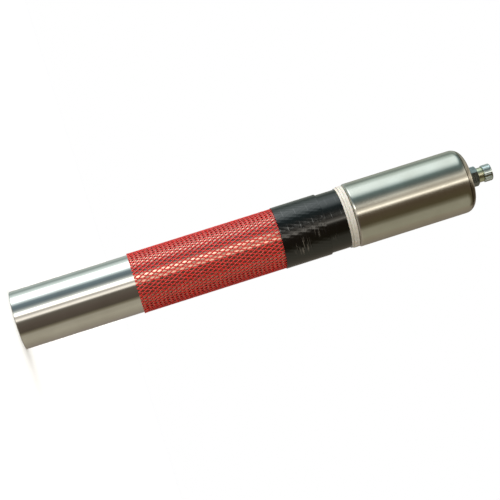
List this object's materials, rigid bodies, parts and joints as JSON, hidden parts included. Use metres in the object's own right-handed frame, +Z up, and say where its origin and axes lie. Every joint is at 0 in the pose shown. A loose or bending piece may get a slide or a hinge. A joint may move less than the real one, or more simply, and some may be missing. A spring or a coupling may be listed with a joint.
{
  "type": "post driver",
  "caption": "Tubular air-powered post driver: an open barrel that slips over a post, a netted and taped grip, and a domed head with a swivel air inlet.",
  "frame": {"origin": "centre of the mouth's rim, where the upright tool would stand on a flat surface", "axes": "+Z up the tool's axis, from the mouth to the air inlet"},
  "size_m": [0.0988, 0.0988, 0.7475],
  "materials": {
    "polished_steel": "polished stainless tube",
    "satin_steel": "satin stainless, turned",
    "red_netting": "extruded plastic netting",
    "black_tape": "glossy vinyl tape",
    "cream_plastic": "porous moulded plastic",
    "tool_steel": "hardened and ground tool steel",
    "bronze": "turned bearing bronze",
    "machined_steel": "machined alloy steel",
    "spring_steel": "blued spring steel",
    "black_rubber": "nitrile rubber",
    "polyurethane": "cast polyurethane",
    "zinc_plate": "dull zinc plate",
    "yellow_zinc": "yellow passivated zinc plate",
    "bright_nickel": "bright nickel plate",
    "sintered_bronze": "sintered bronze"
  },
  "bodies": {
    "barrel": {"barrel_tube": "polished_steel", "netting_sleeve": "red_netting", "grip_tape_lower": "black_tape", "grip_tape_upper": "black_tape", "silencer_ring_lower": "cream_plastic", "silencer_ring_middle": "cream_plastic", "silencer_ring_upper": "cream_plastic", "head_shell": "satin_steel", "head_seal": "black_rubber", "head_cap": "satin_steel", "cap_seal": "black_rubber", "seat_ring": "tool_steel", "wiper_ring": "polyurethane", "bumper_ring": "polyurethane", "anvil_housing": "bronze", "anvil_seal": "black_rubber", "cylinder": "machined_steel", "valve_seat": "machined_steel", "valve_cap": "machined_steel", "dowel_pins": "tool_steel", "disc_spring": "spring_steel", "inlet_washer": "black_rubber", "inlet_bushing": "zinc_plate", "inlet_adapter": "yellow_zinc", "inlet_strainer": "sintered_bronze", "swivel_clip": "spring_steel", "nut_seal": "black_rubber"},
    "anvil": {"anvil": "tool_steel", "strike_plate": "tool_steel", "strike_plate_screw": "spring_steel"},
    "hammer": {"hammer": "tool_steel", "hammer_rings": "spring_steel"},
    "disc": {"disc_valve": "spring_steel"},
    "nut": {"swivel_nut": "bright_nickel"}
  },
  "joints": [
    {"name": "anvil_float", "type": "slide", "parent": "barrel", "child": "anvil", "axis": [0, 0, 1], "range_m": [0, 0.006]},
    {"name": "hammer_stroke", "type": "slide", "parent": "anvil", "child": "hammer", "axis": [0, 0, 1], "range_m": [0, 0.069]},
    {"name": "disc_lift", "type": "slide", "parent": "barrel", "child": "disc", "axis": [0, 0, 1], "range_m": [0, 0.002]},
    {"name": "nut_swivel", "type": "hinge", "parent": "barrel", "child": "nut", "pos_m": [0, 0, 0.7408], "axis": [0, 0, 1], "continuous": true}
  ]
}
